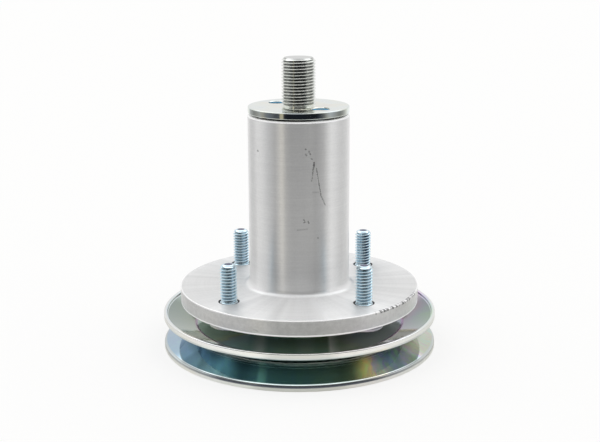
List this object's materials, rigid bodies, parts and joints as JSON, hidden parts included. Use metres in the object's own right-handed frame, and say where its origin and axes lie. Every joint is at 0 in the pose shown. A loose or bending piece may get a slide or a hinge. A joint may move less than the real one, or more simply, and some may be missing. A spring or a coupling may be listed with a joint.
{
  "type": "mower deck spindle",
  "caption": "Mower deck spindle: flanged aluminium bearing housing with studs, threaded blade shaft with drive disc, and a two-sheave V-belt pulley that turns with the shaft.",
  "frame": {"origin": "on the spindle axis, at the plane that the lower pulley rim rests on", "axes": "+Z along the spindle axis towards the blade stud; X and Y across the round flange, with +X through the pulley key"},
  "size_m": [0.1308, 0.131, 0.1379],
  "materials": {
    "turned_aluminium": "turned, bare aluminium with fine rings and light handling scratches",
    "plated_pulley": "bright blue-white zinc plating with a faint iridescent film",
    "plated_disc": "bright zinc plating",
    "plated_shaft": "grey zinc plating, thread dark in its roots",
    "plated_bolt": "blue zinc plating",
    "plain_steel": "plain turned steel, lightly oiled",
    "spring_steel": "dark phosphated spring steel",
    "bearing_steel": "ground bearing steel",
    "cage_steel": "pressed sheet steel",
    "seal_rubber": "matt black nitrile rubber"
  },
  "bodies": {
    "housing": {"housing": "turned_aluminium", "retaining_ring": "spring_steel", "deck_bolt_1": "plated_bolt", "deck_bolt_2": "plated_bolt", "deck_bolt_3": "plated_bolt", "deck_bolt_4": "plated_bolt", "upper_bearing_outer_ring": "bearing_steel", "upper_bearing_top_seal": "seal_rubber", "upper_bearing_bottom_seal": "seal_rubber", "lower_bearing_outer_ring": "bearing_steel", "lower_bearing_top_seal": "seal_rubber", "lower_bearing_bottom_seal": "seal_rubber"},
    "rotor": {"spindle_shaft": "plated_shaft", "blade_disc": "plated_disc", "upper_bearing_inner_ring": "bearing_steel", "lower_bearing_inner_ring": "bearing_steel", "bearing_spacer": "plain_steel", "pulley_spacer": "plain_steel", "pulley_hub": "plated_pulley", "upper_sheave": "plated_pulley", "lower_sheave": "plated_pulley", "pulley_rivets": "plated_pulley", "pulley_key": "plain_steel", "pulley_nut": "plated_bolt"},
    "upper_cage": {"upper_bearing_balls": "bearing_steel", "upper_bearing_cage": "cage_steel"},
    "lower_cage": {"lower_bearing_balls": "bearing_steel", "lower_bearing_cage": "cage_steel"}
  },
  "joints": [
    {"name": "spindle_turn", "type": "hinge", "parent": "housing", "child": "rotor", "pos_m": [0, 0, 0.07], "axis": [0, 0, 1], "continuous": true},
    {"name": "upper_cage_turn", "type": "hinge", "parent": "housing", "child": "upper_cage", "pos_m": [0, 0, 0.10465], "axis": [0, 0, 1], "continuous": true},
    {"name": "lower_cage_turn", "type": "hinge", "parent": "housing", "child": "lower_cage", "pos_m": [0, 0, 0.02637], "axis": [0, 0, 1], "continuous": true}
  ],
  "couplings": [
    {"joint": "upper_cage_turn", "follows": "spindle_turn", "ratio": 0.38163},
    {"joint": "lower_cage_turn", "follows": "spindle_turn", "ratio": 0.38163}
  ]
}
